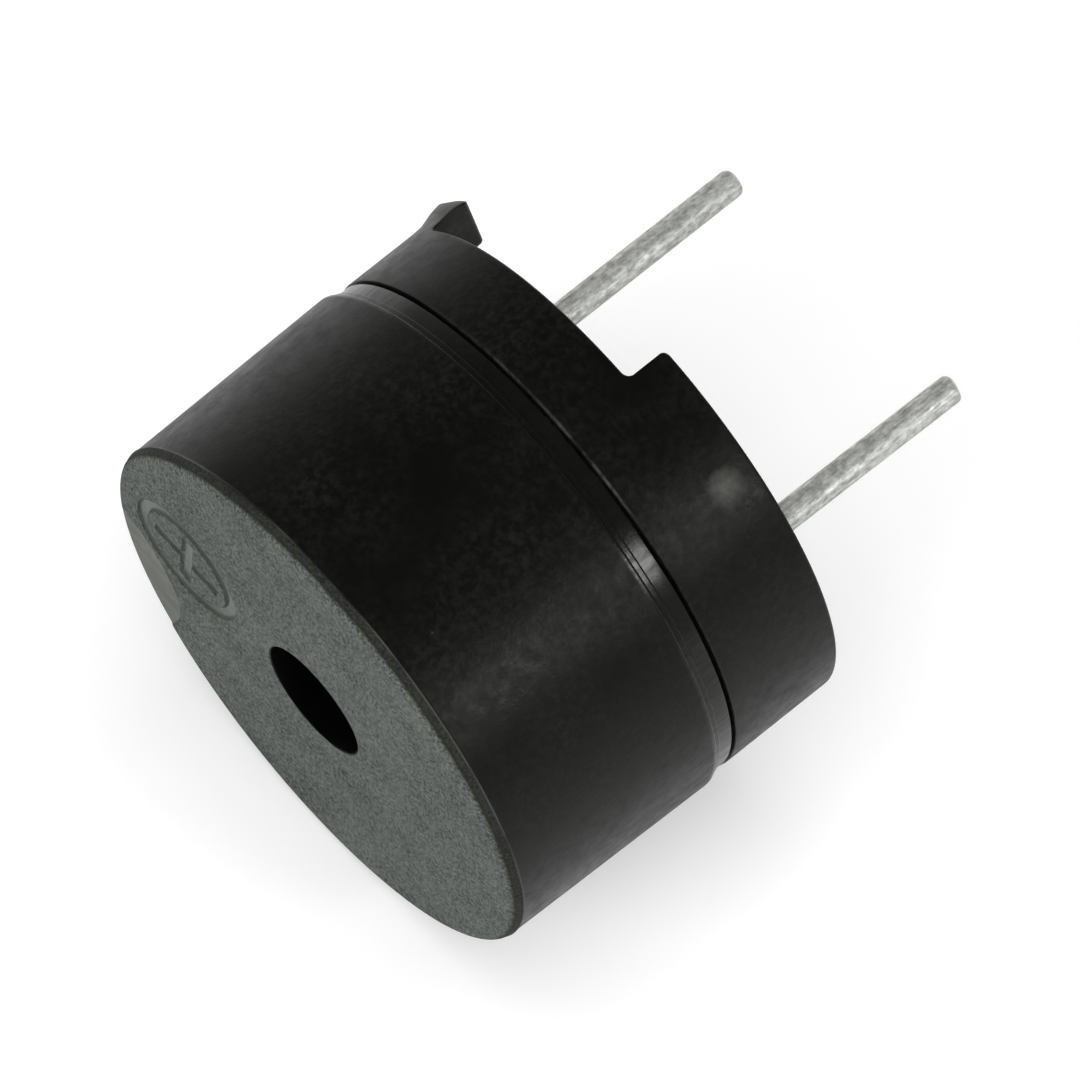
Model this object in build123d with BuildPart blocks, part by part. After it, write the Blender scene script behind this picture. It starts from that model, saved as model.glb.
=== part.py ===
from build123d import *

import os
from math import cos, radians, sin, tan

os.makedirs("parts", exist_ok=True)

# Round magnetic buzzer for a circuit board: two mouldings round a coil, a magnet and a steel diaphragm.
# The feet stand on z = 0, the pins point down along -Z and the sound hole faces +Z.
# +X runs from the body's axis to the positive pin.

# Base shell: the lower moulding, with its two feet, its board pocket and the sleeve that goes up inside the cap
foot_height = 0.95
foot_wall = 0.95
slot_width = 6.4
slot_angle = -74.3
slot_root_fillet = 0.15
foot_chamfer = 0.08
base_wall_height = 1.63
base_step = 0.1
base_rim_chamfer = 0.04
sleeve_wall = 0.65
sleeve_lip = 0.2
sleeve_lead_in = 0.1

# Seam between the two mouldings, open on the outside only
seam_gap = 0.1
seam_depth = 0.25

# Cap: the upper moulding, with the sound hole
cap_radius = 6.0
cap_wall = 0.9
cap_draft = 1.0
cap_roof = 0.8
cap_face_round = 0.25
cap_neck_height = 0.18
cap_neck_step = 0.13
cap_neck_round = 0.4
relief_radius = 2.24
relief_distance = 6.86
relief_angle = 14.0
relief_depth = 0.06
retainer_width = 0.4
chamber_height = 1.85
sound_hole_radius = 1.3
sleeve_clearance = 0.05
sleeve_end_clearance = 0.05

# Terminal board and the resin that seals it in
board_thickness = 0.6
board_clearance = 0.05
resin_recess = 0.1
resin_depth = 0.3

# Pins, thicker where they are pressed into the board
pin_pitch = 6.5
pin_radius = 0.3
pin_reach = 5.3
pin_tip_chamfer = 0.1
pin_root_radius = 0.4
pin_shoulder = 0.1
pin_stub = 0.2

# Solder joints on the board's upper side
solder_foot_radius = 0.52
solder_top_radius = 0.33
solder_height = 0.4
solder_clearance = 0.1

# Yoke plate, core and magnet
yoke_thickness = 0.8
yoke_clearance = 0.05
core_radius = 0.9
core_height = 2.4
core_spigot_radius = 0.6
magnet_height = 2.3
magnet_wall = 1.3
magnet_clearance = 0.1

# Coil and its two leads
coil_height = 2.1
coil_gap = 0.6
coil_clearance = 0.1
lead_radius = 0.05
lead_height = 0.15
lead_sink = 0.1
lead_clearance = 0.15

# Diaphragm and the weight welded to its middle
diaphragm_thickness = 0.06
diaphragm_clearance = 0.05
diaphragm_rebate = 0.2
air_gap = 0.25
weight_radius = 1.6
weight_thickness = 0.35

# Heights, stacked up from the seating plane
resin_z = foot_height + resin_recess
board_z = resin_z + resin_depth
yoke_z = board_z + board_thickness
magnet_z = yoke_z + yoke_thickness
diaphragm_z = magnet_z + core_height + air_gap
weight_z = diaphragm_z + diaphragm_thickness
sleeve_top = diaphragm_z + diaphragm_rebate
shoulder_z = foot_height + base_wall_height
rim_z = shoulder_z + seam_gap
neck_z = rim_z + cap_neck_height
skirt_z = neck_z + cap_neck_round
retainer_z = sleeve_top + sleeve_end_clearance
roof_z = retainer_z + chamber_height
face_z = roof_z + cap_roof
skirt_top = face_z - cap_face_round

# Radii, worked inwards from the cap
base_radius = cap_radius - base_step
neck_radius = cap_radius - cap_neck_step
face_radius = cap_radius - (skirt_top - skirt_z) * tan(radians(cap_draft))
cap_bore = cap_radius - cap_wall
chamber_radius = cap_bore - retainer_width
land_radius = base_radius - seam_depth
pocket_radius = base_radius - foot_wall
board_radius = pocket_radius - board_clearance
sleeve_radius = cap_bore - sleeve_clearance
sleeve_bore = sleeve_radius - sleeve_wall
seat_radius = sleeve_radius - sleeve_lip
diaphragm_radius = seat_radius - diaphragm_clearance
yoke_radius = sleeve_bore - yoke_clearance
magnet_radius = sleeve_bore - magnet_clearance
magnet_bore = magnet_radius - magnet_wall
coil_radius = magnet_bore - coil_gap
coil_bore = core_radius + coil_clearance
notch_radius = solder_foot_radius + solder_clearance
lead_room = lead_radius + lead_clearance

# Places along the line of the pins
pin_x = pin_pitch / 2
gap_x = coil_radius + coil_gap / 2
solder_x = pin_x - solder_top_radius / 2

# Base shell: one turned section, then the slot that parts the foot ring into two feet
with BuildPart() as base_shell:
    with BuildSketch(Plane.XZ):
        with BuildLine():
            Polyline(
                (pocket_radius, 0),
                (base_radius, 0),
                (base_radius, shoulder_z - base_rim_chamfer),
                (base_radius - base_rim_chamfer, shoulder_z),
                (land_radius, shoulder_z),
                (land_radius, rim_z),
                (sleeve_radius, rim_z),
                (sleeve_radius, sleeve_top - sleeve_lead_in),
                (sleeve_radius - sleeve_lead_in, sleeve_top),
                (seat_radius, sleeve_top),
                (seat_radius, diaphragm_z),
                (sleeve_bore, diaphragm_z),
                (sleeve_bore, yoke_z),
                (pocket_radius, yoke_z),
                close=True,
            )
        make_face()
    revolve(axis=Axis.Z)
    with BuildSketch(Plane.XY):
        Rectangle(4 * cap_radius, slot_width, rotation=slot_angle)
    extrude(amount=foot_height, mode=Mode.SUBTRACT)
    slot_line = Axis((0, 0, 0), Vector(1, 0, 0).rotate(Axis.Z, slot_angle))
    slot_roots = base_shell.edges().filter_by(slot_line).group_by(Axis.Z)[-1]
    fillet(slot_roots, slot_root_fillet)
    chamfer(base_shell.edges().group_by(Axis.Z)[0], foot_chamfer)
base_shell.part.label = "base_shell"
export_step(base_shell.part, "parts/base_shell.step")

# Round rim of the cap's face, carried from the skirt to the face in three short bevels on its arc
face_rim = [
    (face_radius - cap_face_round * (1 - cos(radians(turn))), skirt_top + cap_face_round * sin(radians(turn)))
    for turn in (0, 30, 60, 90)
]

# Sound cap: one turned cup with a drafted skirt, a stepped neck at its rim and the hole through its roof,
# then the half-moon relief of the moulding gate, sunk a little into the face at its rim
with BuildPart() as sound_cap:
    with BuildSketch(Plane.XZ):
        with BuildLine():
            skirt = Line(face_rim[0], (cap_radius, skirt_z))
            neck = TangentArc(skirt @ 1, (neck_radius, neck_z), tangent=skirt % 1)
            Polyline(
                neck @ 1,
                (neck_radius, rim_z),
                (cap_bore, rim_z),
                (cap_bore, retainer_z),
                (chamber_radius, retainer_z),
                (chamber_radius, roof_z),
                (sound_hole_radius, roof_z),
                (sound_hole_radius, face_z),
                *reversed(face_rim),
            )
        make_face()
    revolve(axis=Axis.Z)
    with BuildSketch(Plane.XY.offset(face_z)):
        with PolarLocations(relief_distance, 1, start_angle=relief_angle):
            Circle(relief_radius)
    extrude(amount=-relief_depth, mode=Mode.SUBTRACT)
sound_cap.part.label = "sound_cap"
export_step(sound_cap.part, "parts/sound_cap.step")

# Terminal board: a disc with a hole for each pin's root
with BuildPart() as terminal_board:
    with BuildSketch(Plane.XY.offset(board_z)):
        Circle(board_radius)
        with GridLocations(pin_pitch, 0, 2, 1):
            Circle(pin_root_radius, mode=Mode.SUBTRACT)
    extrude(amount=board_thickness)
terminal_board.part.label = "terminal_board"
export_step(terminal_board.part, "parts/terminal_board.step")

# Sealing resin: poured over the board's underside, up to the pocket wall and round the pins
with BuildPart() as sealing_resin:
    with BuildSketch(Plane.XY.offset(resin_z)):
        Circle(pocket_radius)
        with GridLocations(pin_pitch, 0, 2, 1):
            Circle(pin_root_radius, mode=Mode.SUBTRACT)
    extrude(amount=resin_depth)
sealing_resin.part.label = "sealing_resin"
export_step(sealing_resin.part, "parts/sealing_resin.step")

# Yoke plate: a steel disc with a hole for the core's spigot and a notch over each solder joint and lead
with BuildPart() as yoke_plate:
    with BuildSketch(Plane.XY.offset(yoke_z)):
        Circle(yoke_radius)
        Circle(core_spigot_radius, mode=Mode.SUBTRACT)
        with GridLocations(pin_pitch, 0, 2, 1):
            Circle(notch_radius, mode=Mode.SUBTRACT)
        with GridLocations(pin_pitch + yoke_radius, 0, 2, 1):
            Rectangle(yoke_radius, 2 * notch_radius, mode=Mode.SUBTRACT)
        with GridLocations(2 * (gap_x - lead_room) + yoke_radius, 0, 2, 1):
            Rectangle(yoke_radius, 2 * lead_room, mode=Mode.SUBTRACT)
    extrude(amount=yoke_thickness)
yoke_plate.part.label = "yoke_plate"
export_step(yoke_plate.part, "parts/yoke_plate.step")

# Pole core: a steel pin whose spigot is riveted into the yoke plate
with BuildPart() as pole_core:
    with BuildSketch(Plane.XY.offset(yoke_z)):
        Circle(core_spigot_radius)
    extrude(amount=yoke_thickness)
    with BuildSketch(Plane.XY.offset(magnet_z)):
        Circle(core_radius)
    extrude(amount=core_height)
pole_core.part.label = "pole_core"
export_step(pole_core.part, "parts/pole_core.step")

# Ring magnet: pressed ferrite, lying on the yoke plate round the coil
with BuildPart() as ring_magnet:
    with BuildSketch(Plane.XY.offset(magnet_z)):
        Circle(magnet_radius)
        Circle(magnet_bore, mode=Mode.SUBTRACT)
    extrude(amount=magnet_height)
ring_magnet.part.label = "ring_magnet"
export_step(ring_magnet.part, "parts/ring_magnet.step")

# Coil winding: enamelled wire wound and baked into one ring round the core
with BuildPart() as coil_winding:
    with BuildSketch(Plane.XY.offset(magnet_z)):
        Circle(coil_radius)
        Circle(coil_bore, mode=Mode.SUBTRACT)
    extrude(amount=coil_height)
coil_winding.part.label = "coil_winding"
export_step(coil_winding.part, "parts/coil_winding.step")

# Diaphragm: a thin steel disc lying loose on the sleeve's seat, held down by the magnet
with BuildPart() as diaphragm:
    with BuildSketch(Plane.XY.offset(diaphragm_z)):
        Circle(diaphragm_radius)
    extrude(amount=diaphragm_thickness)
diaphragm.part.label = "diaphragm"
export_step(diaphragm.part, "parts/diaphragm.step")

# Diaphragm weight: a small steel disc spot-welded to the diaphragm's upper side
with BuildPart() as diaphragm_weight:
    with BuildSketch(Plane.XY.offset(weight_z)):
        Circle(weight_radius)
    extrude(amount=weight_thickness)
diaphragm_weight.part.label = "diaphragm_weight"
export_step(diaphragm_weight.part, "parts/diaphragm_weight.step")

# What each pole has: its pin, its coil lead and the solder that joins the two on top of the board
for pole, side in (("positive", 1), ("negative", -1)):
    pin_plane = Plane.XZ.shift_origin((side * pin_x, 0, 0))
    pin_axis = Axis((side * pin_x, 0, 0), (0, 0, 1))

    # The pin is turned: a bevelled tip, a straight shank, a thicker root that the board grips and a short stub
    with BuildPart() as pin:
        with BuildSketch(pin_plane):
            with BuildLine():
                Polyline(
                    (0, -pin_reach),
                    (pin_radius, -pin_reach),
                    (pin_radius, resin_z - pin_shoulder),
                    (pin_root_radius, resin_z),
                    (pin_root_radius, yoke_z),
                    (pin_radius, yoke_z),
                    (pin_radius, yoke_z + pin_stub),
                    (0, yoke_z + pin_stub),
                    close=True,
                )
            make_face()
        revolve(axis=pin_axis)
        chamfer(pin.edges().group_by(Axis.Z)[0], pin_tip_chamfer)
    pin.part.label = f"{pole}_pin"
    export_step(pin.part, f"parts/{pole}_pin.step")

    # The lead leaves the coil's side, turns down beside the magnet's bore and ends inside the solder
    with BuildPart() as coil_lead:
        with BuildLine() as lead_path:
            Polyline(
                (side * coil_radius, 0, magnet_z + lead_height),
                (side * gap_x, 0, magnet_z + lead_height),
                (side * solder_x, 0, yoke_z + solder_height - lead_sink),
            )
        with BuildSketch(Plane(origin=lead_path.line @ 0, z_dir=lead_path.line % 0)):
            Circle(lead_radius)
        sweep(transition=Transition.RIGHT)
    coil_lead.part.label = f"{pole}_coil_lead"
    export_step(coil_lead.part, f"parts/{pole}_coil_lead.step")

    # The solder is a cone frozen over the pin's stub and the lead's end
    with BuildPart() as solder:
        with BuildSketch(pin_plane):
            with BuildLine():
                Polyline(
                    (0, yoke_z),
                    (solder_foot_radius, yoke_z),
                    (solder_top_radius, yoke_z + solder_height),
                    (0, yoke_z + solder_height),
                    close=True,
                )
            make_face()
        revolve(axis=pin_axis)
        add(pin.part, mode=Mode.SUBTRACT)
        add(coil_lead.part, mode=Mode.SUBTRACT)
    solder.part.label = f"{pole}_solder"
    export_step(solder.part, f"parts/{pole}_solder.step")
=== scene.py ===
import bpy
import numpy as np
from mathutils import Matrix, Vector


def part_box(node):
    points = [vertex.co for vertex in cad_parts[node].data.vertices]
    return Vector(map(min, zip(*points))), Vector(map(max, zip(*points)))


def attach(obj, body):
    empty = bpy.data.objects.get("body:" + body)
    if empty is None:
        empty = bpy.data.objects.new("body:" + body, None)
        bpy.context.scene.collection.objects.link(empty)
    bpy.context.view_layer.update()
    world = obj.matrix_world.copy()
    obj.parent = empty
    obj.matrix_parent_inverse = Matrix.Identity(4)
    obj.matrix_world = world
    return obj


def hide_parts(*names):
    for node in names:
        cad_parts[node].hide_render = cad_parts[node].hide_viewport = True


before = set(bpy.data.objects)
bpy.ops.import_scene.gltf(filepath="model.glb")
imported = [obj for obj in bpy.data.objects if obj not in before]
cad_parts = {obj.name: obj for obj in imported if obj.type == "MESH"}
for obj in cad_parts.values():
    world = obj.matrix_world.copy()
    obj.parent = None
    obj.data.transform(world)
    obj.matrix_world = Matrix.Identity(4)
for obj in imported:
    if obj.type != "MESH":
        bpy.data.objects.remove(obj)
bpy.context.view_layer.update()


# Movement: the yoke plate, the core riveted into it and the diaphragm with its weight are punched or turned
# from soft steel and thinly plated. Rolling leaves fine parallel streaks, and handling leaves them satin.

class Value:
    """One output socket in a material's node tree. Arithmetic on it adds Math nodes to the same tree."""

    def __init__(self, tree, socket):
        self.tree = tree
        self.socket = socket

    def node(self, kind, settings=None, inputs=None, output=0):
        """Adds a node: first its settings, then the values or links of its sockets; returns one output."""
        made = self.tree.nodes.new(kind)
        for name, setting in (settings or {}).items():
            setattr(made, name, setting)
        for name, value in (inputs or {}).items():
            if isinstance(value, Value):
                self.tree.links.new(value.socket, made.inputs[name])
            else:
                made.inputs[name].default_value = value
        return Value(self.tree, made.outputs[output])

    def math(self, operation, *others):
        return self.node("ShaderNodeMath", {"operation": operation}, dict(enumerate((self, *others))))

    def __add__(self, other):
        return self.math("ADD", other)

    def __sub__(self, other):
        return self.math("SUBTRACT", other)

    def __rsub__(self, other):
        return self.node("ShaderNodeMath", {"operation": "SUBTRACT"}, {0: other, 1: self})

    def __mul__(self, other):
        return self.math("MULTIPLY", other)

    __radd__ = __add__
    __rmul__ = __mul__

    def spread(self, low, high, to_low=0.0, to_high=1.0):
        """This value carried from the span low..high to the span to_low..to_high, held inside it."""
        return self.node("ShaderNodeMapRange", {"clamp": True}, {
            "Value": self, "From Min": low, "From Max": high, "To Min": to_low, "To Max": to_high,
        })

    def vector(self, operation, other=None, output=0):
        """A Vector Math node on this place, with a second vector or place where it takes one."""
        inputs = {0: self} if other is None else {0: self, 1: other}
        return self.node("ShaderNodeVectorMath", {"operation": operation}, inputs, output)

    def noise(self, per_metre, detail=3.0, roughness=0.5, stretch=(1.0, 1.0, 1.0)):
        """Noise at this place, with per_metre cells in a metre, drawn out where stretch is under 1."""
        place = self.vector("MULTIPLY", stretch)
        return place.node("ShaderNodeTexNoise", {}, {
            "Vector": place, "Scale": per_metre, "Detail": detail, "Roughness": roughness,
        })

    def blend(self, first, second):
        """The colour first where this value is 0, and second where it is 1."""
        colours = [value if isinstance(value, Value) else (*value, 1.0) for value in (first, second)]
        return self.node("ShaderNodeMix", {"data_type": "RGBA"}, {0: self, 6: colours[0], 7: colours[1]}, 2)


def new_finish(name, **constants):
    """A material with one Principled shader and its constant sockets set, and its Object coordinates."""
    material = bpy.data.materials.new(name)
    material.use_nodes = True
    shader = material.node_tree.nodes["Principled BSDF"]
    for socket, value in constants.items():
        shader.inputs[socket.replace("_", " ")].default_value = value
    coordinates = material.node_tree.nodes.new("ShaderNodeTexCoord")
    return material, Value(material.node_tree, coordinates.outputs["Object"])


def feed(material, place, colour, roughness, height, relief, coat=None):
    """Links what changes over a surface to the shader.

    The height times the relief, in metres, goes through a Bump node."""
    shader = material.node_tree.nodes["Principled BSDF"]
    bump = place.node("ShaderNodeBump", {}, {"Strength": 1.0, "Distance": relief, "Height": height})
    links = {"Base Color": colour, "Roughness": roughness, "Normal": bump, "Coat Weight": coat}
    for socket, value in links.items():
        if value is not None:
            material.node_tree.links.new(value.socket, shader.inputs[socket])


def rolled_steel(name, dark, bright, stretch):
    """Plated steel: streaks of noise drawn out along one direction set its tone, gloss and fine relief."""
    material, place = new_finish(name, Metallic=1.0)
    streaks = place.noise(9000, 4, 0.6, stretch)
    stain = place.noise(700, 3)
    tone = (0.65 * streaks + 0.35 * stain).spread(0.3, 0.7)
    feed(material, place, tone.blend(dark, bright), tone.spread(0, 1, 0.42, 0.28), streaks, 0.003 * mm)
    return material


def dress(node, material):
    """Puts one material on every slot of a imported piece."""
    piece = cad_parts[node]
    piece.data.materials.clear()
    piece.data.materials.append(material)


mm = 0.001
along_x = (0.05, 1.0, 1.0)
along_z = (1.0, 1.0, 0.05)
dress("yoke_plate", rolled_steel("plated_yoke_steel", (0.36, 0.36, 0.35), (0.62, 0.62, 0.60), along_x))
dress("pole_core", rolled_steel("turned_core_steel", (0.38, 0.38, 0.37), (0.66, 0.66, 0.64), along_z))
dress("diaphragm", rolled_steel("diaphragm_steel", (0.30, 0.30, 0.29), (0.50, 0.50, 0.48), along_x))
dress("diaphragm_weight", rolled_steel("weight_steel", (0.34, 0.34, 0.33), (0.56, 0.56, 0.54), along_x))


# Ring magnet: strontium ferrite, pressed from powder and fired, so it is a dark grey ceramic.
# Its skin is matt with a coarse grain and a few pale chipped specks.

ferrite, place = new_finish("sintered_ferrite")
grain = place.noise(14000, 5, 0.65)
chips = place.noise(3000, 2).spread(0.68, 0.72)
tone = grain.spread(0.35, 0.65).blend((0.060, 0.060, 0.064), (0.115, 0.115, 0.120))
tone = chips.blend(tone, (0.22, 0.22, 0.22))
feed(ferrite, place, tone, grain.spread(0.3, 0.7, 0.72, 0.55), grain, 0.008 * mm)
dress("ring_magnet", ferrite)


# Coil: fine enamelled copper wire wound in level layers round the core and baked into one ring, with its
# two ends led down to the solder joints. The turns show as close ridges up the side.

def copper(name, turns_per_metre):
    """Red-brown enamel over copper. Its height is a sine of z, one wave a turn, or noise on one wire."""
    material, place = new_finish(name, Metallic=0.85, Coat_Weight=1.0, Coat_Roughness=0.12)
    patches = place.noise(1800, 3)
    colour = patches.spread(0.35, 0.65).blend((0.30, 0.085, 0.025), (0.52, 0.17, 0.055))
    if turns_per_metre:
        rise = place.node("ShaderNodeSeparateXYZ", {}, {0: place}, 2)
        turns = (rise * (turns_per_metre * 2 * np.pi)).math("SINE").spread(-1, 1)
        height = turns + 0.3 * place.noise(6000, 2)
    else:
        height = place.noise(20000, 2)
    feed(material, place, colour, patches.spread(0.3, 0.7, 0.38, 0.26), height, 0.008 * mm)
    return material


dress("coil_winding", copper("wound_copper", 16000))
lead_wire = copper("lead_copper", 0)
dress("positive_coil_lead", lead_wire)
dress("negative_coil_lead", lead_wire)


# Terminal board: a punched disc of tan paper laminate. It grips the pins' roots and carries the solder
# joints, small cones of grey solder frozen over each pin's stub and the end of its lead.

laminate, place = new_finish("paper_laminate")
fibres = place.noise(5000, 4, 0.6, (1.0, 0.25, 1.0))
tone = fibres.spread(0.35, 0.65).blend((0.34, 0.235, 0.105), (0.47, 0.345, 0.175))
feed(laminate, place, tone, fibres.spread(0.3, 0.7, 0.62, 0.48), fibres, 0.006 * mm)
dress("terminal_board", laminate)

solder, place = new_finish("frozen_solder", Metallic=1.0)
frost = place.noise(6000, 4, 0.6)
tone = frost.spread(0.3, 0.7).blend((0.42, 0.42, 0.41), (0.68, 0.68, 0.66))
feed(solder, place, tone, frost.spread(0.3, 0.7, 0.40, 0.22), frost, 0.012 * mm)
dress("positive_solder", solder)
dress("negative_solder", solder)


# Sealing resin: black potting resin poured over the board's underside with the buzzer upside down. It
# climbs a little along the pocket's wall and the pins' roots before it sets, and leaves a shallow dish.

resin_low, resin_high = (np.array(corner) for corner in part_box("sealing_resin"))
positive_low, positive_high = (np.array(corner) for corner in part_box("positive_pin"))
negative_low, negative_high = (np.array(corner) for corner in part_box("negative_pin"))
positive_axis = (positive_low + positive_high) / 2
negative_axis = (negative_low + negative_high) / 2
root_radius = (positive_high[0] - positive_low[0]) / 2
creep_height = 0.09 * mm
creep_width = 0.16 * mm
resin_step = 0.09 * mm
resin_columns = 240
flatness = 0.0001 * mm


def skin(name, grid, material, poles=False):
    """A closed mesh from a grid of points, rows by columns, whose columns close on the first one.

    Each face joins a point to its neighbours in the next row and column, in an order that faces outwards
    when rows run against the clock in the half-plane of the section and columns run round +Z. The last row
    joins the first one; with poles, the first and last rows are one point each, at the middle of a fan."""
    rows, columns, _ = grid.shape
    here = np.arange(rows * columns).reshape(rows, columns)
    beside = np.roll(here, -1, axis=1)
    quads = np.stack([here, beside, np.roll(beside, -1, axis=0), np.roll(here, -1, axis=0)], axis=-1)
    points = grid.reshape(-1, 3)
    faces = quads.reshape(-1, 4).tolist()
    if poles:
        first_pole = 0 * here[0]
        last_pole = first_pole + (rows - 2) * columns + 1
        first_fan = np.stack([first_pole, beside[0] + 1, here[0] + 1], axis=-1)
        last_fan = np.stack([here[-3] + 1, beside[-3] + 1, last_pole], axis=-1)
        faces = (quads[:-3] + 1).reshape(-1, 4).tolist() + first_fan.tolist() + last_fan.tolist()
        points = np.concatenate([grid[0, :1], grid[1:-1].reshape(-1, 3), grid[-1, :1]])
    mesh = bpy.data.meshes.new(name)
    mesh.from_pydata(points.tolist(), [], faces)
    mesh.polygons.foreach_set("use_smooth", np.ones(len(faces), dtype=bool))
    mesh.materials.append(material)
    mesh.set_sharp_from_angle(angle=np.radians(40))
    mesh.update()
    piece = bpy.data.objects.new(name, mesh)
    bpy.context.collection.objects.link(piece)
    return piece


def rounded(corners, steps):
    """A closed outline through corners (radius, height, rounding), those with a rounding as arcs of steps.

    The arc touches both sides at a distance of the rounding over the tangent of half the corner's angle."""
    points = np.array([corner[:2] for corner in corners])
    outline = []
    for index, (_, _, rounding) in enumerate(corners):
        here = points[index]
        if rounding == 0:
            outline.append(here[None])
            continue
        back = points[index - 1] - here
        on = points[(index + 1) % len(points)] - here
        back, on = back / np.linalg.norm(back), on / np.linalg.norm(on)
        half_angle = np.arccos(np.clip(back @ on, -1, 1)) / 2
        middle = (back + on) / np.linalg.norm(back + on)
        centre = here + middle * rounding / np.sin(half_angle)
        first = here + back * rounding / np.tan(half_angle) - centre
        last = here + on * rounding / np.tan(half_angle) - centre
        turn = np.pi - 2 * half_angle
        share = np.linspace(0, 1, steps + 1)[:, None]
        arc = (first * np.sin((1 - share) * turn) + last * np.sin(share * turn)) / np.sin(turn)
        outline.append(centre + arc)
    return np.concatenate(outline)


def divided(outline, spacing, closed=True):
    """The outline with points added so that no step is longer than spacing says for its middle point.

    A closed outline goes on from its last point to its first; an open one ends at its last point."""
    onward = np.roll(outline, -1, axis=0)
    pieces = []
    for start, end in list(zip(outline, onward))[:None if closed else -1]:
        step = spacing((start + end) / 2)
        count = max(1, int(np.ceil(np.linalg.norm(end - start) / step)))
        share = np.arange(count)[:, None] / count
        pieces.append(start + (end - start) * share)
    if not closed:
        pieces.append(outline[-1:])
    return np.concatenate(pieces)


def turned(outline, angles):
    """The grid of an outline of (radius, height) carried round +Z through the angles."""
    radius, height = outline[:, 0][:, None], outline[:, 1][:, None]
    return np.stack(np.broadcast_arrays(radius * np.cos(angles), radius * np.sin(angles), height), axis=-1)


def resin_skin():
    """A disc whose lower face dips by an exponential creep near the pocket's wall and near each pin's root.

    Depth below the flat level is creep_height times e to the minus distance over creep_width."""
    radius, top, bottom = resin_high[0], resin_high[2], resin_low[2]
    outline = divided(np.array([(0.0, bottom), (radius, bottom), (radius, top), (0.0, top)]),
                      lambda middle: resin_step, False)
    grid = turned(outline, np.linspace(0, 2 * np.pi, resin_columns, endpoint=False))
    x, y, z = grid[..., 0], grid[..., 1], grid[..., 2]
    near = radius - np.hypot(x, y)
    for axis in (positive_axis, negative_axis):
        near = np.minimum(near, np.abs(np.hypot(x - axis[0], y - axis[1]) - root_radius))
    creep = creep_height * np.exp(-near / creep_width)
    z -= np.where(z < bottom + flatness, creep, 0)
    return grid


potting, place = new_finish("potting_resin")
cloud = place.noise(900, 3)
tone = cloud.spread(0.3, 0.7).blend((0.010, 0.010, 0.010), (0.022, 0.021, 0.020))
dimples = place.noise(2600, 3, 0.6)
feed(potting, place, tone, cloud.spread(0.3, 0.7, 0.16, 0.34), dimples, 0.012 * mm)
resin = skin("poured_resin", resin_skin(), potting, True)
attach(resin, "root")
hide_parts("sealing_resin")


# Pins: drawn tinned wire of 0.6 mm, cut off in a shear, so each end is dragged round and slightly uneven.
# The tin is dull and mottled, with drawn lines along the wire. Handling has bent the negative pin a little.

pin_radius = 0.3 * mm
pin_lean = {"positive": 0.0, "negative": np.radians(0.7)}
pin_lean_towards = {"positive": 0.0, "negative": np.radians(180.0)}
bend_length = 0.25 * mm
stub_height = positive_high[2]
root_top = resin_high[2] + 0.6 * mm
taper_height = resin_low[2] - 0.1 * mm
tip_rounding = 0.13 * mm
tip_length = 0.35 * mm
tip_slope = 0.16
tip_wave = 0.07
three_lobes = 0.005
two_lobes = 0.004
lobe_length = 0.9 * mm
wire_step = 0.06 * mm
root_step = 0.3 * mm
pin_columns = 48


def pin_skin(pole, axis, seed):
    """A turned outline with a rounded tip, whose radius wanders by under a hundredth and whose tip slopes.

    Near the tip each point rises by the square of its share of the tip's length, times a slope across the
    wire with two waves round it. Below the resin each point moves sideways by the lean's tangent times its
    depth, less an exponential that eases the bend in."""
    tip = positive_low[2]
    outline = divided(rounded([
        (0.0, tip, 0),
        (pin_radius, tip, tip_rounding),
        (pin_radius, taper_height, 0),
        (root_radius, resin_low[2], 0),
        (root_radius, root_top, 0),
        (pin_radius, root_top, 0),
        (pin_radius, stub_height, 0),
        (0.0, stub_height, 0),
    ], 7), lambda middle: wire_step if middle[1] < taper_height else root_step, False)
    angles = np.linspace(0, 2 * np.pi, pin_columns, endpoint=False)
    grid = turned(outline, angles)
    x, y, z = grid[..., 0], grid[..., 1], grid[..., 2]
    wave = three_lobes * np.sin(3 * angles + seed) * np.sin(z / lobe_length + seed)
    wave = wave + two_lobes * np.sin(2 * angles - seed)
    end = np.clip(1 - (z - tip) / tip_length, 0, 1)
    slope = tip_slope * x * np.cos(seed) + tip_slope * y * np.sin(seed)
    slope = slope + tip_wave * np.hypot(x, y) * np.sin(2 * angles + 2 * seed)
    x *= 1 + wave
    y *= 1 + wave
    z += end ** 2 * np.clip(slope, 0, None)
    depth = np.clip(resin_low[2] - z, 0, None)
    eased = np.maximum(depth - bend_length * (1 - np.exp(-depth / bend_length)), 0)
    shift = np.tan(pin_lean[pole]) * eased
    x += axis[0] + shift * np.cos(pin_lean_towards[pole])
    y += axis[1] + shift * np.sin(pin_lean_towards[pole])
    return grid


tinned, place = new_finish("dull_tinned_wire", Metallic=0.45)
drawn = place.noise(16000, 4, 0.65, (1.0, 1.0, 0.06))
mottle = place.noise(9000, 4, 0.65, (1.0, 1.0, 0.6))
tone = (0.35 * drawn + 0.65 * mottle).spread(0.36, 0.64)
colour = tone.blend((0.30, 0.31, 0.28), (0.86, 0.87, 0.83))
feed(tinned, place, colour, tone.spread(0, 1, 0.50, 0.34), 0.4 * drawn + 0.6 * mottle, 0.022 * mm)
for pole, axis, seed in (("positive", positive_axis, 0.7), ("negative", negative_axis, 3.9)):
    pin = skin(f"{pole}_wire_pin", pin_skin(pole, axis, seed), tinned, True)
    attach(pin, "root")
    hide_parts(f"{pole}_pin")


# Base shell: the lower moulding in black plastic. Its foot ring is parted by one straight slot into two
# feet, and its sleeve goes up inside the cap. The mould's parting leaves soft edges on feet and slot, and
# one foot has a small swelling at its end, with paler colour round it. A rougher round spot on the foot
# carries a painted highlight, and a painted highlight runs along the rounded shoulder edge at the seam on
# one side.

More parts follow.
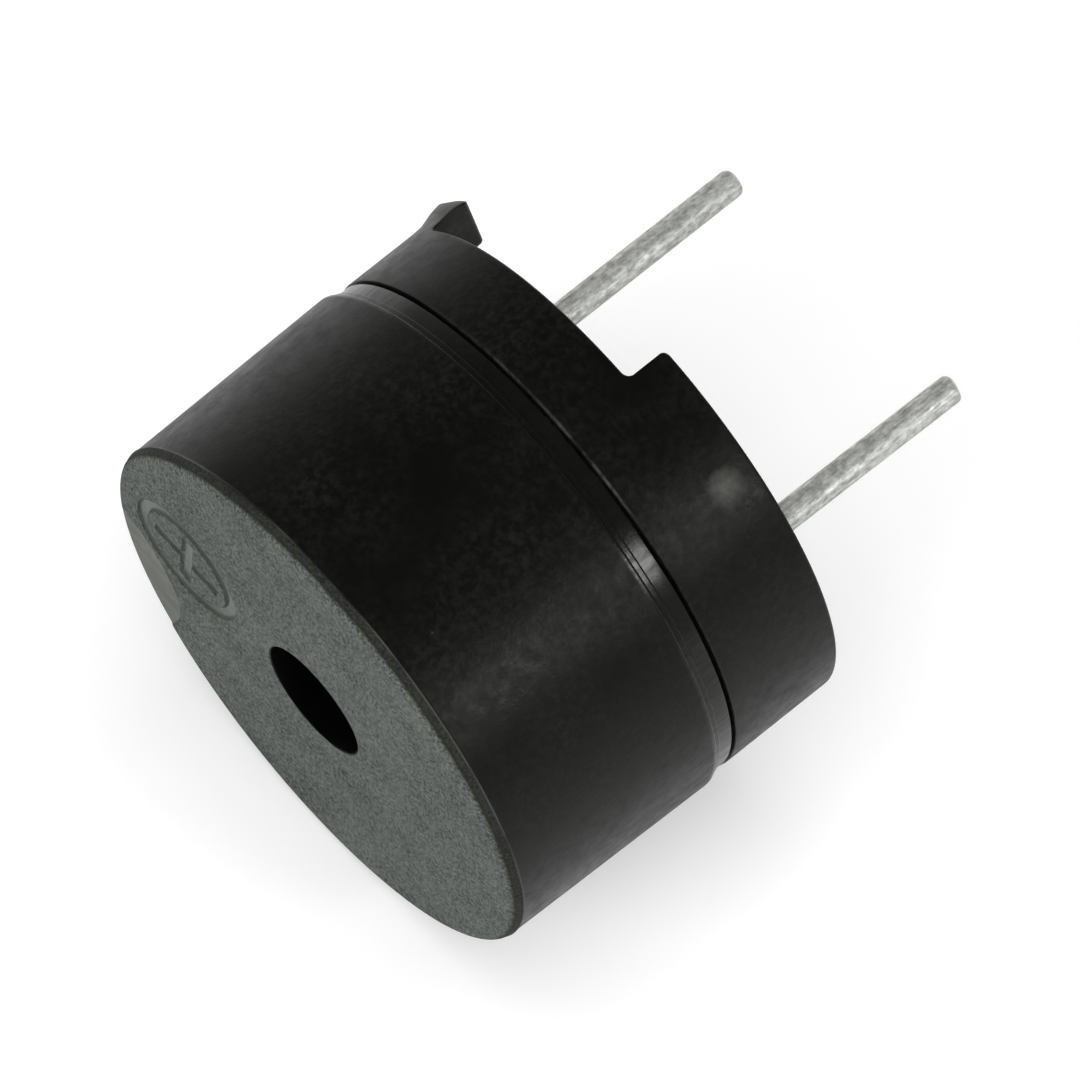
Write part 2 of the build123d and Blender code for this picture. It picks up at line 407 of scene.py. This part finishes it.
base_high = np.array(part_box("base_shell")[1])
cap_low, cap_high = (np.array(corner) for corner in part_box("sound_cap"))
base_radius = base_high[0]
pocket_radius = resin_high[0]
sleeve_radius = 5.05 * mm
sleeve_bore = 4.4 * mm
sleeve_chamfer = 0.1 * mm
sleeve_rounding = 0.02 * mm
seat_radius = 4.85 * mm
seat_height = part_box("diaphragm")[0][2]
seat_rounding = 0.03 * mm
board_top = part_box("terminal_board")[1][2]
land_radius = 5.65 * mm
rim_height = cap_low[2]
lip_height = rim_height - 0.08 * mm
lip_rounding = 0.025 * mm
# Side on which the rounded shoulder edge at the seam carries its painted highlight
seam_glint_azimuth = np.radians(-108.0)

slot_half = 3.2 * mm
slot_angle = np.radians(-74.3)
foot_height = 0.95 * mm
root_rounding = 0.15 * mm
corner_rounding = 0.14 * mm
edge_rounding = 0.07 * mm
ring_height = 1.6 * mm
inner_ring_height = 1.3 * mm
ceiling_columns, wall_columns, corner_columns, foot_columns = 16, 7, 7, 28
fall_rows, edge_rows = 6, 6
upper_step = 0.35 * mm
outer_band = 0.1 * mm

swelling_azimuth = np.radians(-34.0)
swelling_spread = np.radians(5.5)
swelling_height = 0.36 * mm
swelling_rise = 0.26 * mm
swelling_proud = 0.18 * mm
spot_azimuth = np.radians(-135.2)
spot_height = 0.72 * mm


def base_skin():
    """The section of the shell carried round +Z in columns that follow the slot's outline.

    A quarter of the outline runs from the slot's middle to a foot's middle: ceiling, hollow root, wall,
    round corner, foot. Each of its points has a sideways distance t from the slot's centre line, a height z
    and an inward direction, so at radius r it lies at the angle asin(t / r). Rows cross from the outer wall
    to the inner one over rounded edges; above them the columns ease into even angles. That is clockwise in
    the section, so the grid's rows are turned round at the end. The swelling adds to the outer radius e to
    the minus squares of the angle over its spread and of the height over its rise."""
    quarter = np.linspace(0, np.pi / 2, corner_columns + 2)[1:-1]
    root = slot_half - root_rounding
    corner = slot_half + corner_rounding
    ceiling = np.linspace(0, root, ceiling_columns)
    wall = np.linspace(foot_height - root_rounding, corner_rounding, wall_columns)
    foot = np.linspace(0, 1, foot_columns)
    t = np.concatenate([ceiling, root + root_rounding * np.sin(quarter), np.full_like(wall, slot_half),
                        corner - corner_rounding * np.cos(quarter), np.full_like(foot, corner)])
    z = np.concatenate([np.full_like(ceiling, foot_height),
                        foot_height - root_rounding * (1 - np.cos(quarter)), wall,
                        corner_rounding * (1 - np.sin(quarter)), 0 * foot])
    inward_t = np.concatenate([0 * ceiling, np.sin(quarter), np.ones_like(wall), np.cos(quarter), 0 * foot])
    inward_z = np.concatenate([np.ones_like(ceiling), np.cos(quarter), 0 * wall, np.sin(quarter),
                               np.ones_like(foot)])
    along = np.concatenate([np.zeros(len(t) - foot_columns), foot])

    def angle_at(sideways, radius):
        """asin(t / r), then evenly on to a right angle along the foot."""
        start = np.arcsin(np.clip(sideways / radius, 0, 1))
        return start + (np.pi / 2 - start) * along

    def edge_row(radius, inset):
        """Angles and heights of the outline moved into the solid by inset, at that radius."""
        return angle_at(t + inward_t * inset, radius), z + inward_z * inset

    middle_radius = (base_radius + pocket_radius) / 2
    steps = np.hypot(np.diff(middle_radius * angle_at(t, middle_radius)), np.diff(z))
    even = np.concatenate([[0], np.cumsum(steps)]) / steps.sum() * np.pi / 2

    fall = np.linspace(0, 1, fall_rows + 2)[1:-1]
    arc = np.linspace(0, np.pi / 2, edge_rows)
    rows = []
    outer_angle, outer_height = edge_row(base_radius, edge_rounding)
    for share in fall:
        rows.append((base_radius, even + (outer_angle - even) * share,
                     ring_height + (outer_height - ring_height) * share))
    for turn in arc:
        radius = base_radius - edge_rounding * (1 - np.cos(turn))
        rows.append((radius, *edge_row(radius, edge_rounding * (1 - np.sin(turn)))))
    for share in (0.33, 0.67):
        radius = base_radius + (pocket_radius - base_radius) * share
        rows.append((radius, *edge_row(radius, 0.0)))
    for turn in arc[::-1]:
        radius = pocket_radius + edge_rounding * (1 - np.cos(turn))
        rows.append((radius, *edge_row(radius, edge_rounding * (1 - np.sin(turn)))))
    inner_angle, inner_height = edge_row(pocket_radius, edge_rounding)
    for share in fall[::-1]:
        rows.append((pocket_radius, even + (inner_angle - even) * share,
                     inner_ring_height + (inner_height - inner_ring_height) * share))
    upper = divided(rounded([
        (pocket_radius, inner_ring_height, 0),
        (pocket_radius, board_top, 0),
        (sleeve_bore, board_top, 0),
        (sleeve_bore, seat_height, 0),
        (seat_radius, seat_height, 0),
        (seat_radius, base_high[2], seat_rounding),
        (sleeve_radius - sleeve_chamfer, base_high[2], sleeve_rounding),
        (sleeve_radius, base_high[2] - sleeve_chamfer, sleeve_rounding),
        (sleeve_radius, rim_height, 0),
        (land_radius, rim_height, 0),
        (land_radius, lip_height, 0),
        (base_radius, lip_height, lip_rounding),
        (base_radius, ring_height, 0),
    ], 4), lambda middle: upper_step, False)
    for radius, height in upper:
        rows.append((radius, even, np.full_like(even, height)))

    grid = []
    for radius, angle, height in rows:
        half = np.concatenate([angle, np.pi - angle[-2:0:-1]])
        whole = np.concatenate([half, half + np.pi]) + slot_angle
        level = np.tile(np.concatenate([height, height[-2:0:-1]]), 2)
        sideways = np.angle(np.exp(1j * (whole - swelling_azimuth))) / swelling_spread
        upright = (level - swelling_height) / swelling_rise
        swelling = np.exp(-sideways ** 2 - upright ** 2) * (radius > base_radius - outer_band)
        proud = radius + swelling_proud * swelling
        grid.append(np.stack([proud * np.cos(whole), proud * np.sin(whole), level], axis=-1))
    return np.array(grid)[::-1]


def black_plastic(name):
    """Moulded black plastic: a cloudy, blotchy gloss, orange-peel relief, pale bloom and a little dust.

    Returns the material, its coordinates, and its tone, gloss and peel for the piece to add to."""
    material, place = new_finish(name, Specular_IOR_Level=0.17, Specular_Tint=(0.97, 1.0, 0.93, 1.0),
                                 Coat_Roughness=0.18)
    cloud = place.noise(420, 4, 0.6)
    blotches = place.noise(3200, 3, 0.65)
    peel = place.noise(11000, 4, 0.7)
    bloom = place.noise(6500, 4, 0.7).spread(0.42, 0.66) * cloud.spread(0.35, 0.65)
    dust = place.noise(9000, 1).spread(0.80, 0.83) * cloud.spread(0.45, 0.6)
    tone = (bloom * 0.35 + dust).spread(0, 1).blend((0.0034, 0.0038, 0.0031), (0.026, 0.028, 0.025))
    gloss = (0.4 * cloud + 0.6 * blotches).spread(0.30, 0.70, 0.25, 0.50)
    return material, place, tone, gloss, peel


def patch(place, azimuth, height, solid_radius, faded_radius):
    """1 near a point on the base's outer wall and 0 away from it, over a ragged edge."""
    middle = (base_radius * np.cos(azimuth), base_radius * np.sin(azimuth), height)
    ragged = place.vector("DISTANCE", middle, 1) + 0.3 * mm * place.noise(3600, 3, 0.6)
    return ragged.spread(solid_radius, faded_radius, 1, 0)


base_plastic, place, tone, gloss, peel = black_plastic("satin_base_plastic")
rise = place.node("ShaderNodeSeparateXYZ", {}, {0: place}, 2)
# Painted highlight: a pale, patchy thin line on the rounded shoulder edge at the seam, on one side only
seam_glint_side = (np.cos(seam_glint_azimuth) / base_radius, np.sin(seam_glint_azimuth) / base_radius, 0.0)
seam_glint = rise.spread(lip_height - 0.06 * mm, lip_height - 0.03 * mm) * place.noise(420, 2).spread(0.42, 0.58)
seam_glint = seam_glint * place.noise(7000, 2, 0.7).spread(0.30, 0.60)
seam_glint = seam_glint * place.vector("DOT_PRODUCT", seam_glint_side, 1).spread(0.93, 0.975, 0.15, 1.0)
# Paler colour round the swelling at the foot's end
pale_swelling_patch = patch(place, swelling_azimuth, swelling_height, 0.36 * mm, 1.10 * mm)
pale_swelling_patch = pale_swelling_patch * pale_swelling_patch * place.noise(5000, 3, 0.7).spread(0.30, 0.60, 0.5, 1.0)
# A round spot on the foot: rougher, and painted pale as a painted highlight
rough_spot_highlight = patch(place, spot_azimuth, spot_height, 0.26 * mm, 0.60 * mm)
spot_highlight_mottle = rough_spot_highlight * place.noise(7000, 3, 0.7).spread(0.30, 0.60, 0.6, 1.0)
tone = (seam_glint * 0.7).blend(tone, (0.085, 0.085, 0.070))
# Painted highlight colour of the round spot
tone = spot_highlight_mottle.blend(tone, (0.080, 0.082, 0.074))
tone = pale_swelling_patch.blend(tone, (0.110, 0.113, 0.104))
feed(base_plastic, place, tone, gloss + rough_spot_highlight * 0.10, peel, 0.005 * mm)
base = skin("moulded_base", base_skin(), base_plastic)
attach(base, "root")
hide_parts("base_shell")


# Sound cap: the upper moulding. Its face is spark-eroded to a fine matt grain, with a rounded smooth rim,
# the polarity mark sunk into it and the smooth half-moon where the plastic entered the mould. A fine line
# round the rim is where the mould parted, and the narrow neck with its low bead is polished.

face_height = cap_high[2]
cap_radius = cap_high[0]
face_radius = 5.912 * mm
face_rounding = 0.25 * mm
hole_radius = 1.3 * mm
hole_rounding = 0.04 * mm
cap_bore = 5.1 * mm
chamber_radius = 4.7 * mm
retainer_height = 5.65 * mm
roof_height = 7.5 * mm
neck_radius = 5.87 * mm
neck_rounding = 0.02 * mm
bead_radius = 5.93 * mm
bead_height = 3.0 * mm
bead_slope = 0.04 * mm
skirt_start = 3.24 * mm
bead_end = skirt_start - 0.10 * mm
skirt_edge = skirt_start - 0.05 * mm
skirt_rounding = 0.03 * mm
draft_length = 0.09 * mm
draft_angle = np.radians(1.0)

seam_line_height = face_height - face_rounding - 0.01 * mm
seam_line_proud = 0.015 * mm
seam_line_width = 0.022 * mm
seam_line_band = 0.06 * mm

mark_distance = 3.79 * mm
mark_angle = np.radians(-13.7)
mark_ring_radius = 1.31 * mm
mark_line = 0.27 * mm
mark_arm = 1.8 * mm
mark_depth = 0.075 * mm
relief_distance = 6.86 * mm
relief_angle = np.radians(14.0)
relief_radius = 2.24 * mm
relief_depth = 0.06 * mm
step_width = 0.05 * mm
grain_fade = 0.04 * mm
edge_depth = 0.2 * mm
flat_depth = 0.001 * mm

mark_start = 2.2 * mm
mark_step, line_step, wide_step = 0.03 * mm, 0.01 * mm, 0.30 * mm
fine_from, fine_to, fine_step = -35, 37, 0.45
coarse_columns = 140


def inside(distance, width):
    """1 well inside a shape and 0 well outside it, by a smooth step of the signed distance to its edge."""
    share = np.clip(0.5 - distance / width, 0, 1)
    return share * share * (3 - 2 * share)


def cap_spacing(middle):
    """Steps along the section: fine over the mark, finer over the mould line, and wider elsewhere."""
    radius, height = middle
    if height > face_height - 0.01 * mm and radius > mark_start:
        return mark_step
    if abs(height - seam_line_height) < seam_line_band:
        return line_step
    return wide_step


def cap_skin():
    """The cap's section carried round +Z, with the mark and the gate's half-moon sunk into the face.

    The mould line adds to the radius e to the minus square of the height from it over its width. The mark
    is the union of a ring, | distance - radius | - half its line, and a plus of two bars, each
    max(| along | - half its length, | across | - half its line). The half-moon is distance - radius of a
    disc that the rim cuts. Returns the grid and, for each point, how grained and how smooth it is."""
    outline = divided(rounded([
        (hole_radius, face_height, hole_rounding),
        (hole_radius, roof_height, 0),
        (chamber_radius, roof_height, 0),
        (chamber_radius, retainer_height, 0),
        (cap_bore, retainer_height, 0),
        (cap_bore, rim_height, 0),
        (neck_radius, rim_height, neck_rounding),
        (neck_radius, bead_height, 0),
        (bead_radius, bead_height + bead_slope, neck_rounding),
        (bead_radius, bead_end, 0),
        (cap_radius, skirt_edge, skirt_rounding),
        (face_radius + draft_length * np.tan(draft_angle), face_height - face_rounding - draft_length, 0),
        (face_radius, face_height, face_rounding),
    ], 7), cap_spacing)
    fine = np.radians(np.arange(fine_from, fine_to, fine_step))
    coarse = np.linspace(fine[-1], fine[0] + 2 * np.pi, coarse_columns + 2)[1:-1]
    grid = turned(outline, np.concatenate([fine, coarse]))
    x, y, z = grid[..., 0], grid[..., 1], grid[..., 2]
    radius = np.hypot(x, y)
    ridge = np.exp(-((z - seam_line_height) / seam_line_width) ** 2) * (radius > neck_radius - outer_band)
    x *= 1 + seam_line_proud * ridge / radius
    y *= 1 + seam_line_proud * ridge / radius
    along = x * np.cos(mark_angle) + y * np.sin(mark_angle) - mark_distance
    across = y * np.cos(mark_angle) - x * np.sin(mark_angle)
    ring = np.abs(np.hypot(along, across) - mark_ring_radius) - mark_line / 2
    bar = np.maximum(np.abs(along) - mark_arm / 2, np.abs(across) - mark_line / 2)
    cross_bar = np.maximum(np.abs(across) - mark_arm / 2, np.abs(along) - mark_line / 2)
    mark = inside(np.minimum(ring, np.minimum(bar, cross_bar)), step_width)
    gate_x, gate_y = relief_distance * np.cos(relief_angle), relief_distance * np.sin(relief_angle)
    gate = inside(np.hypot(x - gate_x, y - gate_y) - relief_radius, step_width)
    on_face = z > face_height - edge_depth
    on_flat = z > face_height - flat_depth
    level = np.where(on_face, np.minimum(z, face_height - relief_depth * gate), z)
    level = np.where(on_flat, level - mark_depth * mark, level)
    grained = inside(face_height - face_rounding - z, grain_fade) * (radius > hole_radius + 0.02 * mm)
    grain = grained * (1 - np.maximum(mark, gate))
    smooth = np.maximum(mark * on_flat, 0.5 * gate * on_face)
    grid[..., 2] = level
    return grid, grain, smooth


cap_grid, cap_grain, cap_smooth = cap_skin()
cap_plastic, place, tone, gloss, peel = black_plastic("cap_plastic")
grain_mask = place.node("ShaderNodeAttribute", {"attribute_name": "grain"}, {}, 2)
smooth_mask = place.node("ShaderNodeAttribute", {"attribute_name": "smooth"}, {}, 2)
rise = place.node("ShaderNodeSeparateXYZ", {}, {0: place}, 2)
outside = place.vector("MULTIPLY", (1.0, 1.0, 0.0)).vector("LENGTH", None, 1).spread(4.9 * mm, 5.2 * mm)

erosion = place.noise(11000, 2, 0.6)
pits = place.noise(19000, 1).spread(0.38, 0.62)
patches = place.noise(700, 3, 0.6)
sparks = (0.5 * erosion + 0.25 * patches + 0.25 * pits).spread(0.30, 0.70)
face_tone = sparks.blend((0.022, 0.0275, 0.0248), (0.154, 0.168, 0.154))

rim = rise.spread(face_height - 0.10 * mm, face_height - 0.04 * mm, 1, 0) * outside
olive = rim * rise.spread(face_height - 0.15 * mm, face_height - 0.09 * mm)
rim_tone = sparks.blend((0.012, 0.013, 0.012), (0.036, 0.038, 0.034))
rim_tone = olive.blend(rim_tone, (0.018, 0.018, 0.006))
colour = grain_mask.blend(outside.blend((0.0015, 0.0015, 0.0015), tone), rim.blend(face_tone, rim_tone))

# Painted highlight: a pale, patchy line along the mould line's ridge round the rim
line = rise.spread(seam_line_height - 0.02 * mm, seam_line_height + 0.005 * mm) * outside
line = line * rise.spread(seam_line_height + 0.005 * mm, seam_line_height + 0.03 * mm, 1, 0)
line = line * place.noise(350, 3, 0.6).spread(0.42, 0.58) * patches.spread(0.40, 0.60, 0.2, 0.9)
colour = line.blend(colour, (0.10, 0.105, 0.09))
colour = smooth_mask.spread(0.0, 0.5).blend(colour, (0.070, 0.080, 0.064))
# The mark's sunk floor is painted lighter, as painted light against the shade in its groove
colour = smooth_mask.spread(0.5, 1.0).blend(colour, (0.092, 0.104, 0.094))

polish = rise.spread(skirt_start - 0.02 * mm, skirt_start + 0.04 * mm, 1, 0) * outside
colour = (polish * patches.spread(0.30, 0.70, 0.5, 1.0)).blend(colour, (0.0065, 0.0070, 0.0055))
streaks = place.noise(9000, 2, 0.5, (1.0, 1.0, 0.15)).spread(0.35, 0.65, 0.14, 0.26)
roughness = gloss + grain_mask * (0.75 - gloss)
roughness = roughness + polish * (streaks - roughness)
height = 0.35 * peel * (1 - 0.6 * polish) + grain_mask * erosion * 3.0
coat = polish * streaks.spread(0.14, 0.26, 0.27, 0.12)
feed(cap_plastic, place, colour, roughness, height, 0.015 * mm, coat)

cap = skin("moulded_cap", cap_grid, cap_plastic)
for name, values in (("grain", cap_grain), ("smooth", cap_smooth)):
    layer = cap.data.attributes.new(name, "FLOAT", "POINT")
    layer.data.foreach_set("value", values.ravel())
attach(cap, "root")
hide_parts("sound_cap")


# Studio: the buzzer lies on its side on a sweep of pale paper, seen steeply from above with a long lens. A
# broad soft light hangs over it, another stands before its face, and a small one at the side gives gloss.

view_azimuth = np.radians(-118.2471)
view_elevation = np.radians(15.1885)
view_roll = np.radians(-128.3654)
view_distance = 500 * mm
view_centre = np.array((-0.4140, -0.1782, 2.8354)) * mm
lens_mm = 860.38
buzzer_axis = np.array((0.0, 0.0, 1.0))


def looking_back(side, up, towards, place):
    """The world matrix of a camera or lamp at that place, whose own X, Y and Z are the three directions."""
    matrix = np.eye(4)
    matrix[:3, 0], matrix[:3, 1], matrix[:3, 2], matrix[:3, 3] = side, up, towards, place
    return matrix.T.tolist()


towards = np.array((np.cos(view_azimuth) * np.cos(view_elevation),
                    np.sin(view_azimuth) * np.cos(view_elevation), np.sin(view_elevation)))
level_right = np.cross(buzzer_axis, towards)
level_right /= np.linalg.norm(level_right)
level_up = np.cross(towards, level_right)
right = level_right * np.cos(view_roll) + level_up * np.sin(view_roll)
camera = bpy.data.objects.new("camera", bpy.data.cameras.new("camera"))
camera.data.lens = lens_mm
camera.data.clip_start = 0.05
camera.data.clip_end = 5.0
camera.matrix_world = looking_back(right, np.cross(towards, right), towards,
                                   view_centre + towards * view_distance)
bpy.context.collection.objects.link(camera)
bpy.context.scene.camera = camera

# The floor touches the cap's widest ring and stands square to the picture's up direction
floor_half = 300 * mm
floor_gap = 0.01 * mm
floor_colour = (0.76, 0.76, 0.76)
floor_glow = 0.37
floor_mirrored = 0.4

floor_up = np.cross(buzzer_axis, right)
floor_up /= np.linalg.norm(floor_up) * np.sign(floor_up @ towards)
floor_side = np.cross(floor_up, buzzer_axis)
floor_centre = -floor_up * (cap_radius + floor_gap)
floor_corners = [floor_centre + floor_half * (a * floor_side + b * buzzer_axis)
                 for a, b in ((-1, -1), (1, -1), (1, 1), (-1, 1))]
floor_mesh = bpy.data.meshes.new("floor")
floor_mesh.from_pydata([corner.tolist() for corner in floor_corners], [], [(0, 1, 2, 3)])
floor_mesh.update()
if np.array(floor_mesh.polygons[0].normal) @ floor_up < 0:
    floor_mesh.flip_normals()
floor = bpy.data.objects.new("floor", floor_mesh)
bpy.context.collection.objects.link(floor)

floor_finish = bpy.data.materials.new("pale_sweep")
floor_finish.use_nodes = True
tree = floor_finish.node_tree
tree.nodes.clear()
path = tree.nodes.new("ShaderNodeLightPath")
seen = Value(tree, path.outputs["Is Camera Ray"])
glossy = Value(tree, path.outputs["Is Glossy Ray"])
through = Value(tree, path.outputs["Is Transmission Ray"])
glowing = (seen + floor_mirrored * glossy + through).spread(0, 1) * floor_glow
paper = seen.node("ShaderNodeBsdfDiffuse", {}, {"Color": (*floor_colour, 1.0)})
glow = seen.node("ShaderNodeEmission", {}, {"Color": (1.0, 1.0, 1.0, 1.0), "Strength": glowing})
lit = seen.node("ShaderNodeAddShader", {}, {0: paper, 1: glow})
behind = Value(tree, tree.nodes.new("ShaderNodeNewGeometry").outputs["Backfacing"])
clear = seen.node("ShaderNodeBsdfTransparent")
shown = seen.node("ShaderNodeMixShader", {}, {0: behind * seen, 1: lit, 2: clear})
output = tree.nodes.new("ShaderNodeOutputMaterial")
tree.links.new(shown.socket, output.inputs["Surface"])
floor_mesh.materials.append(floor_finish)

# The room: white for the eye, and for light and reflections a dark ceiling over paler walls
wall_level = 0.42
world = bpy.data.worlds.new("studio")
world.use_nodes = True
bpy.context.scene.world = world
tree = world.node_tree
background = tree.nodes["Background"]
seen = Value(tree, tree.nodes.new("ShaderNodeLightPath").outputs["Is Camera Ray"])
looking = Value(tree, tree.nodes.new("ShaderNodeTexCoord").outputs["Generated"])
wall = looking.vector("DOT_PRODUCT", floor_up.tolist(), 1).spread(0.1, 0.75, wall_level, 0.0)
strength = seen + (1 - seen) * wall
tree.links.new(strength.socket, background.inputs["Strength"])
background.inputs["Color"].default_value = (1.0, 1.0, 1.0, 1.0)

lamp_distance = 400 * mm
lamp_roll = (0.3, 0.5, 0.8)


def softbox(name, direction, width, level, mirrored=True):
    """A square area lamp that looks at the object; level 1 lights a facing white surface to white."""
    lamp = bpy.data.lights.new(name, "AREA")
    lamp.size = width
    lamp.energy = level * np.pi ** 2 * lamp_distance ** 2
    direction = np.array(direction) / np.linalg.norm(direction)
    side = np.cross(direction, lamp_roll)
    side /= np.linalg.norm(side)
    holder = bpy.data.objects.new(name, lamp)
    holder.matrix_world = looking_back(side, np.cross(direction, side), direction,
                                       view_centre + direction * lamp_distance)
    holder.visible_glossy = mirrored
    bpy.context.collection.objects.link(holder)


softbox("face_light", floor_up * 0.45 + buzzer_axis, 260 * mm, 0.60, False)
softbox("ceiling", floor_up, 420 * mm, 0.92, False)
softbox("side_light", (-0.876, -0.404, -0.262), 85 * mm, 0.18)

bpy.context.scene.view_settings.view_transform = "Standard"
